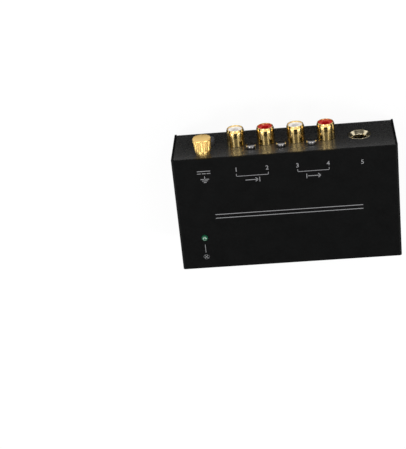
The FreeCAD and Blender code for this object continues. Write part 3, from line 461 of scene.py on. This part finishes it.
def spun(name, outline, material, flutes=None, around=AROUND):
    """Mesh object turned around Z through (radius, height) points. flutes gives, for
    a turn's angle and an outline point's number, how far in the surface lies."""
    shape = bmesh.new()
    rings = []
    for number, (radius, height) in enumerate(outline):
        if radius == 0:
            rings.append([shape.verts.new((0, 0, height))] * around)
            continue
        ring = []
        for i in range(around):
            angle = 2 * math.pi * i / around
            reach = radius - (flutes(angle, number) if flutes else 0)
            ring.append(shape.verts.new((reach * math.cos(angle), reach * math.sin(angle),
                                         height)))
        rings.append(ring)
    for low, high in zip(rings, rings[1:]):
        for i in range(around):
            j = (i + 1) % around
            corners = list(dict.fromkeys([low[i], low[j], high[j], high[i]]))
            shape.faces.new(corners)
    bmesh.ops.recalc_face_normals(shape, faces=shape.faces)
    mesh = finished_mesh(name, shape, material)
    shade(mesh)
    return new_object(name, mesh)


def stand(piece, place, axis, turn=0.0):
    """Puts a piece made around Z at place, along axis, turned by turn radians."""
    piece.matrix_world = (Matrix.Translation(place)
                          @ Vector(axis).to_track_quat("Z", "X").to_matrix().to_4x4()
                          @ Matrix.Rotation(turn, 4, "Z"))


def settle(piece, node, body="casing"):
    """Makes a piece stand for a CAD node."""
    bpy.context.view_layer.update()
    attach(piece, body)
    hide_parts(node)


def carved(piece, cutter):
    """Takes the cutter out of the piece and deletes the cutter."""
    carve = piece.modifiers.new("carve", "BOOLEAN")
    carve.solver = "EXACT"
    carve.object = cutter
    bpy.context.view_layer.update()
    solid = piece.evaluated_get(bpy.context.evaluated_depsgraph_get())
    mesh = bpy.data.meshes.new_from_object(solid)
    piece.modifiers.clear()
    piece.data = mesh
    shade(mesh)
    bpy.data.objects.remove(cutter)


def cross_cutter(top, reach, width, depth):
    """Cross-shaped wedge that narrows downwards from just above top."""
    shape = bmesh.new()
    for turn in (0, math.pi / 2):
        corners = []
        for height, share in ((top - depth, CROSS_BOTTOM_SHARE),
                              (top + depth / 2, CROSS_TOP_SHARE)):
            width_share = 1 - CROSS_WIDTH_TAPER * (1 - share)
            for x, y in ((-1, -1), (1, -1), (1, 1), (-1, 1)):
                long = x * reach * share
                wide = y * width / 2 * width_share
                corners.append(shape.verts.new((
                    long * math.cos(turn) - wide * math.sin(turn),
                    long * math.sin(turn) + wide * math.cos(turn), height)))
        low, high = corners[:4], corners[4:]
        shape.faces.new(low[::-1])
        shape.faces.new(high)
        for i in range(4):
            j = (i + 1) % 4
            shape.faces.new([low[i], low[j], high[j], high[i]])
    return new_object("cross", finished_mesh("cross", shape))


def merged(name, pieces):
    """One object from several, with their places kept."""
    bpy.context.view_layer.update()
    shape = bmesh.new()
    for piece in pieces:
        mesh = piece.data.copy()
        mesh.transform(piece.matrix_world)
        shape.from_mesh(mesh)
        bpy.data.meshes.remove(mesh)
    mesh = finished_mesh(name, shape, pieces[0].data.materials[0])
    shade(mesh)
    for piece in pieces:
        bpy.data.objects.remove(piece)
    return new_object(name, mesh)


# Turned and carved pieces that stand for small CAD nodes

def phono_shell(name):
    """Gold shell: flange and neck behind the panel, wall and tapered rim in front of it."""
    node = "rca_shell_" + name
    low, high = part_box(node)
    length, front = high.y - low.y, PANEL - low.y
    flange = (high.x - low.x) / 2
    behind = [(RCA_INNER, 0), (flange, 0), (flange, RCA_FLANGE), (RCA_NECK, RCA_FLANGE)]
    outside = softened([
        (RCA_NECK, front - RCA_NECK_LENGTH), (RCA_NECK, front), (RCA_RADIUS, front),
        (RCA_RADIUS, length - RCA_RIM_LENGTH), (RCA_RIM, length), (RCA_INNER, length),
        (RCA_INNER, 0)], RCA_SHELL_ROUND)
    shell = spun("shell_" + name, behind + outside, GOLD)
    stand(shell, Vector((middle(node).x, low.y, middle(node).z)), OUTWARDS)
    settle(shell, node)


def phono_insulator(name):
    """White insulator for a left socket, red for a right one."""
    node = "rca_insulator_" + name
    low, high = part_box(node)
    length = high.y - low.y
    outline = softened([(RCA_HOLE, 0), (RCA_INNER, 0), (RCA_INNER, length),
                        (RCA_HOLE, length), (RCA_HOLE, 0)], RCA_INSULATOR_ROUND)
    slot = "red_insulator" if name.endswith("right") else "white_insulator"
    sleeve = spun("sleeve_" + name, outline, SLOT_MATERIALS[slot])
    shell = middle("rca_shell_" + name)
    stand(sleeve, Vector((shell.x, low.y, shell.z)), OUTWARDS)
    settle(sleeve, node)


def phono_sockets():
    for name in RCA_NAMES:
        phono_shell(name)
        phono_insulator(name)


def panel_screws():
    """Slightly domed cross-head screws between the phono sockets."""
    low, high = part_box("panel_screws")
    radius = (high.z - low.z) / 2
    rise, shank = high.y - PANEL, PANEL - low.y
    xs = (low.x + radius, (low.x + high.x) / 2, high.x - radius)
    outline = softened([
        (0, -shank), (radius / 2, -shank), (radius / 2, 0), (radius, 0),
        (radius, rise - SCREW_CROWN),
        (radius * SCREW_CROWN_RADIUS_SHARE, rise - SCREW_CROWN * SCREW_CROWN_DROP_SHARE),
        (0, rise)], SCREW_EDGE)
    heads = []
    for number, x in enumerate(xs):
        head = spun("head", outline, NICKEL_PAINTED_SHADE)
        carved(head, cross_cutter(rise, CROSS_REACH, CROSS_WIDTH, CROSS_DEPTH))
        stand(head, Vector((x, PANEL, (low.z + high.z) / 2)), OUTWARDS,
              SCREW_TURN + SCREW_TURN_STEP * number)
        heads.append(head)
    settle(merged("cross_head_screws", heads), "panel_screws")


def thumb_nut():
    """Knurled nut: flutes between a plain base band and a smooth closed top."""
    low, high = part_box("thumb_nut")
    length, radius = high.y - low.y, (high.x - low.x) / 2
    base = NUT_BASE_RADIUS
    plain = [(0, length / 2), (NUT_BORE, length / 2), (NUT_BORE, 0),
             (base - NUT_BEVEL, 0), (base, NUT_BEVEL), (base, NUT_BASE_BAND)]
    ribs = [(base + NUT_BEVEL, NUT_BASE_BAND + NUT_BEVEL),
            (radius, length - NUT_TOP_BAND - NUT_BEVEL)]
    crown = softened([(radius, length - NUT_TOP_BAND), (radius, length), (0, length)],
                     NUT_ROUND)
    ribbed = range(len(plain), len(plain) + len(ribs))

    def flutes(angle, number):
        if number not in ribbed:
            return 0
        wave = 0.5 + 0.5 * math.cos(NUT_FLUTES * angle)
        return NUT_FLUTE_DEPTH * wave ** NUT_FLUTE_POWER

    nut = spun("thumb_nut_turned", plain + ribs + crown, KNURLED_GOLD, flutes,
               NUT_FLUTE_SIDES * NUT_FLUTES)
    stand(nut, Vector((middle("thumb_nut").x, low.y, middle("thumb_nut").z)), OUTWARDS)
    settle(nut, "thumb_nut", "ground_nut_body")


def phone_ring():
    """Ring of the 6.35 mm socket, with a conical lead-in and a small ledge below it."""
    node = "phone_jack_ring"
    low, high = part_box(node)
    radius, length = (high.x - low.x) / 2, high.y - low.y
    outline = softened([
        (RING_BORE, 0), (radius, 0), (radius, length), (RING_MOUTH, length),
        (RING_BORE + RING_LEDGE, length - RING_MOUTH_DEPTH),
        (RING_BORE, length - RING_MOUTH_DEPTH - RING_LEDGE), (RING_BORE, 0)], RING_ROUND)
    ring = spun("socket_ring", outline, WARM_NICKEL)
    stand(ring, Vector((middle(node).x, low.y, middle(node).z)), OUTWARDS)
    settle(ring, node)


def lamp():
    """Flanged green lamp whose dome stands out of the top."""
    low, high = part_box("led")
    length, flange = high.z - low.z, (high.x - low.x) / 2
    shoulder = length - LED_RADIUS
    turns = [math.pi / 2 * i / LED_STEPS for i in range(LED_STEPS)]
    arc = [(LED_RADIUS * math.cos(a), shoulder + LED_RADIUS * math.sin(a)) for a in turns]
    stem = [(0, 0), (flange, 0), (flange, LED_FLANGE), (LED_RADIUS, LED_FLANGE)]
    dome = spun("lamp_dome", stem + arc + [(0, length)], LAMP)
    stand(dome, Vector((middle("led").x, middle("led").y, low.z)), UPWARDS)
    settle(dome, "led")


def feet():
    """Round rubber feet with a rounded edge and a shallow hollow below."""
    for end in ("front", "rear"):
        for side in ("left", "right"):
            node = f"foot_{end}_{side}"
            low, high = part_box(node)
            radius, height = (high.x - low.x) / 2, high.z - low.z
            outline = softened([
                (0, FOOT_HOLLOW_DEPTH), (FOOT_HOLLOW, FOOT_HOLLOW_EDGE),
                (FOOT_HOLLOW * FOOT_HOLLOW_FLARE, 0), (radius * FOOT_TREAD_SHARE, 0),
                (radius, height), (0, height)], FOOT_ROUND)
            foot = spun("round_" + node, outline, RUBBER, around=FOOT_AROUND)
            stand(foot, Vector((middle(node).x, middle(node).y, low.z)), UPWARDS)
            settle(foot, node)


def cover_screws():
    """Countersunk cross-head screws, flush with the cover's sides."""
    low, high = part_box("cover_screws")
    radius = (high.z - low.z) / 2
    z = (high.z + low.z) / 2
    ys = (low.y + radius, high.y - radius)
    outline = softened([
        (0, -COVER_SCREW_LENGTH), (COVER_SCREW_SHANK, -COVER_SCREW_LENGTH),
        (COVER_SCREW_SHANK, -SHEET), (radius, -COVER_SCREW_LIP),
        (radius * COVER_SCREW_FACE_SHARE, 0), (0, 0)], COVER_SCREW_ROUND)
    heads = []
    for side in (-1, 1):
        for number, y in enumerate(ys):
            head = spun("head", outline, BLACK_STEEL, around=COVER_SCREW_AROUND)
            carved(head, cross_cutter(0, CROSS_REACH * COVER_CROSS_SHARE, CROSS_WIDTH,
                                      SHEET * COVER_CROSS_SHARE))
            stand(head, Vector((side * COVER_HIGH.x, y, z)), (side, 0, 0),
                  COVER_SCREW_TURN + number + side * COVER_SCREW_SIDE_TURN)
            heads.append(head)
    settle(merged("countersunk_screws", heads), "cover_screws")


# Printed marks on the top, as flat shapes a little above the paint

def printed(made):
    """Moves a mark from the origin to the top's middle and makes it ride there."""
    made.location = FACE + Vector((made.location.x, made.location.y, PRINT_LIFT))
    bpy.context.view_layer.update()
    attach(made, "casing")


def printed_digit(digit, x, y):
    """A digit centred on x and y, millimetres from the top's middle."""
    curve = bpy.data.curves.new("digit", "FONT")
    curve.body = digit
    curve.align_x = "CENTER"
    curve.align_y = "CENTER"
    curve.size = DIGIT_HEIGHT / DIGIT_SHARE_OF_FONT
    curve.offset = DIGIT_SWELL * DIGIT_HEIGHT
    curve.materials.append(PRINT)
    made = new_object("digit_" + digit, curve)
    made.location = (x * MM, y * MM, 0)
    printed(made)


def printed_lines(name, runs, thickness=LINE):
    """Flat bars along runs of ((x, y), (x, y)), millimetres from the top's middle."""
    shape = bmesh.new()
    for start, end in runs:
        first, last = Vector((*start, 0)) * MM, Vector((*end, 0)) * MM
        along = (last - first).normalized() * thickness / 2
        across = Vector((-along.y, along.x, 0))
        first, last = first - along, last + along
        corners = [first - across, last - across, last + across, first + across]
        shape.faces.new([shape.verts.new(corner) for corner in corners])
    printed(new_object(name, finished_mesh(name, shape, PRINT)))


def polyline(points):
    return list(zip(points, points[1:]))


def bracket(x, y):
    """Bracket under two sockets, with a tick up at each end."""
    tick = y + BRACKET_TICK
    return polyline([(x[0], tick), (x[0], y), (x[1], y), (x[1], tick)])


def arrow(x, y, bar_side):
    """Arrow to the right, with a bar at its head or, if bar_side is -1, at its tail."""
    tip = x + ARROW_HALF - (ARROW_GAP if bar_side > 0 else 0)
    tail = x - ARROW_HALF + (0 if bar_side > 0 else ARROW_GAP)
    bar = x + bar_side * ARROW_HALF
    return [((tail, y), (tip, y)), ((tip - ARROW_HEAD, y + ARROW_SPREAD), (tip, y)),
            ((tip - ARROW_HEAD, y - ARROW_SPREAD), (tip, y)),
            ((bar, y - ARROW_BAR_HALF), (bar, y + ARROW_BAR_HALF))]


def direct_current_mark():
    """Line over a row of dashes."""
    starts = [CURRENT_X[0] + DASH_STEP * i for i in range(DASHES)]
    dashes = [((start, DASH_Y), (start + DASH_LENGTH, DASH_Y)) for start in starts]
    return [((CURRENT_X[0], CURRENT_Y), (CURRENT_X[1], CURRENT_Y))] + dashes


def ground_mark():
    """Stem over three bars that shorten downwards."""
    bars = [((GROUND_X - half, y), (GROUND_X + half, y)) for half, y in GROUND_BARS]
    return [((GROUND_X, GROUND_STEM_Y[0]), (GROUND_X, GROUND_STEM_Y[1]))] + bars


def lamp_mark(x, y):
    """Circle with a diagonal cross in it."""
    radius, sides = LAMP_MARK_RADIUS, LAMP_MARK_SIDES
    turns = [2 * math.pi * i / sides for i in range(sides + 1)]
    circle = polyline([(x + radius * math.cos(a), y + radius * math.sin(a)) for a in turns])
    reach = radius * math.sqrt(0.5)
    return circle + [((x - reach, y - reach), (x + reach, y + reach)),
                     ((x - reach, y + reach), (x + reach, y - reach))]


def printed_marks():
    for digit, place in DIGIT_PLACES.items():
        printed_digit(digit, *place)
    printed_lines("input_bracket", bracket(*INPUT_BRACKET), FINE_LINE)
    printed_lines("output_bracket", bracket(*OUTPUT_BRACKET), FINE_LINE)
    printed_lines("input_arrow", arrow(*INPUT_ARROW, 1))
    printed_lines("output_arrow", arrow(*OUTPUT_ARROW, -1))
    printed_lines("direct_current_mark", direct_current_mark())
    printed_lines("ground_mark", ground_mark())
    printed_lines("lamp_line", [LAMP_LINE], FINE_LINE)
    printed_lines("lamp_mark", lamp_mark(*LAMP_MARK), FINE_LINE)
    printed_lines("rule", [((RULE_X[0], y), (RULE_X[1], y)) for y in RULE_Y])


# Camera, light and stage

def make_camera():
    data = bpy.data.cameras.new("camera")
    data.sensor_width = SENSOR_MM
    data.lens = CAMERA_LENS_MM
    data.clip_start = CLIP_START
    data.clip_end = CLIP_END
    camera = new_object("camera", data)
    camera.location = CAMERA_PLACE
    camera.rotation_euler = [math.radians(a) for a in CAMERA_TURN]
    bpy.context.scene.camera = camera


def seen_rays(tree):
    """Output that is 1 for camera, glossy and transmission rays and 0 for the others."""
    path = tree.nodes.new("ShaderNodeLightPath")
    seen = path.outputs["Is Camera Ray"]
    for kind in ("Is Glossy Ray", "Is Transmission Ray"):
        either = tree.nodes.new("ShaderNodeMath")
        either.operation = "MAXIMUM"
        tree.links.new(seen, either.inputs[0])
        tree.links.new(path.outputs[kind], either.inputs[1])
        seen = either.outputs[0]
    return seen


def make_world():
    """White where it is seen or mirrored, a softer white as a source of light."""
    world = bpy.data.worlds.new("studio")
    bpy.context.scene.world = world
    world.use_nodes = True
    tree = world.node_tree
    back = tree.nodes["Background"]
    strength = tree.nodes.new("ShaderNodeMapRange")
    strength.inputs["To Min"].default_value = WORLD_FILL
    strength.inputs["To Max"].default_value = 1.0
    tree.links.new(seen_rays(tree), strength.inputs["Value"])
    tree.links.new(strength.outputs["Result"], back.inputs["Strength"])
    back.inputs["Color"].default_value = WHITE


def level(xs, ys, z):
    """Corners of a level rectangle."""
    return [(xs[0], ys[0], z), (xs[1], ys[0], z), (xs[1], ys[1], z), (xs[0], ys[1], z)]


def upright(start, end, height):
    """Corners of a rectangle that stands on the floor from start to end."""
    return [(*start, 0), (*end, 0), (*end, height), (*start, height)]


def stage_plane(name, corners, material):
    mesh = bpy.data.meshes.new(name)
    mesh.from_pydata(corners, [], [(0, 1, 2, 3)])
    mesh.materials.append(material)
    made = new_object(name, mesh)
    return made


def make_floor():
    """Pale floor: mostly its own white where it is seen or mirrored, the rest lit, so
    that it keeps the part's shadow."""
    shader = Shader("floor")
    grey = (FLOOR_GREY, FLOOR_GREY, FLOOR_GREY, 1)
    shader.set(Base_Color=grey, Roughness=FLOOR_ROUGHNESS, Specular_IOR_Level=0.0)
    tree = shader.tree
    glow = tree.nodes.new("ShaderNodeEmission")
    glow.inputs["Strength"].default_value = 1.0
    share = tree.nodes.new("ShaderNodeMath")
    share.operation = "MULTIPLY"
    share.inputs[1].default_value = FLOOR_WHITE_SHARE
    mix = tree.nodes.new("ShaderNodeMixShader")
    shader.link(seen_rays(tree), share.inputs[0])
    shader.link(share.outputs[0], mix.inputs["Fac"])
    shader.link(shader.surface.outputs["BSDF"], mix.inputs[1])
    shader.link(glow.outputs["Emission"], mix.inputs[2])
    shader.link(mix.outputs["Shader"], tree.nodes["Material Output"].inputs["Surface"])
    span = (-FLOOR_REACH, FLOOR_REACH)
    stage_plane("floor", level(span, span, 0), shader.material)


def softbox(name, side, place, size, watts):
    """Rectangular light at place, mirrored to -X if side is -1."""
    data = bpy.data.lights.new(name, "AREA")
    data.shape = "RECTANGLE"
    data.size, data.size_y = size
    data.energy = watts
    light = new_object(name, data)
    light.location = (side * place[0], place[1], place[2])
    towards = Vector(LIT_POINT) - light.location
    light.rotation_euler = towards.to_track_quat("-Z", "Y").to_euler()


def flag(name, corners, grey=CARD_GREY):
    """Dark studio card that only reflections see."""
    shader = Shader(name)
    shader.set(Base_Color=(grey, grey, grey, 1), Roughness=1.0, Specular_IOR_Level=0.0)
    card = stage_plane(name, corners, shader.material)
    card.visible_camera = False
    card.visible_diffuse = False
    card.visible_shadow = False
    card.visible_transmission = False


def make_lights():
    """Two pairs of soft boxes, and the cards that the paint and the metal mirror; the card on
    the floor past the panel is a painted shadow.
    """
    for side in (-1, 1):
        softbox(f"strip_box_{side + 2}", side, *STRIP_BOX)
        softbox(f"rear_box_{side + 2}", side, *REAR_BOX)
        x = side * CARD_X
        flag(f"side_flag_{side + 2}", upright((x, -CARD_Y), (x, CARD_Y), CARD_HEIGHT))
    flag("overhead_flag", level((-OVERHEAD_X, OVERHEAD_X), OVERHEAD_Y, OVERHEAD_Z))
    flag("far_flag", upright((-CARD_X, CARD_Y), (CARD_X, CARD_Y), CARD_HEIGHT), FAR_CARD_GREY)
    # Painted shadow: a dark card on the floor past the panel, for the part's own shadow there,
    # seen only in reflections
    near = PANEL + SHADOW_CARD_GAP
    flag("painted_shadow_flag", level((-SHADOW_CARD_X, SHADOW_CARD_X), (near, near + SHADOW_CARD_DEPTH),
                             SHADOW_CARD_Z), SHADOW_CARD_GREY)


def main():
    bpy.context.scene.view_settings.view_transform = "Standard"
    make_camera()
    make_world()
    make_floor()
    make_lights()
    dress_nodes()
    phono_sockets()
    panel_screws()
    thumb_nut()
    phone_ring()
    lamp()
    feet()
    cover_screws()
    printed_marks()


main()
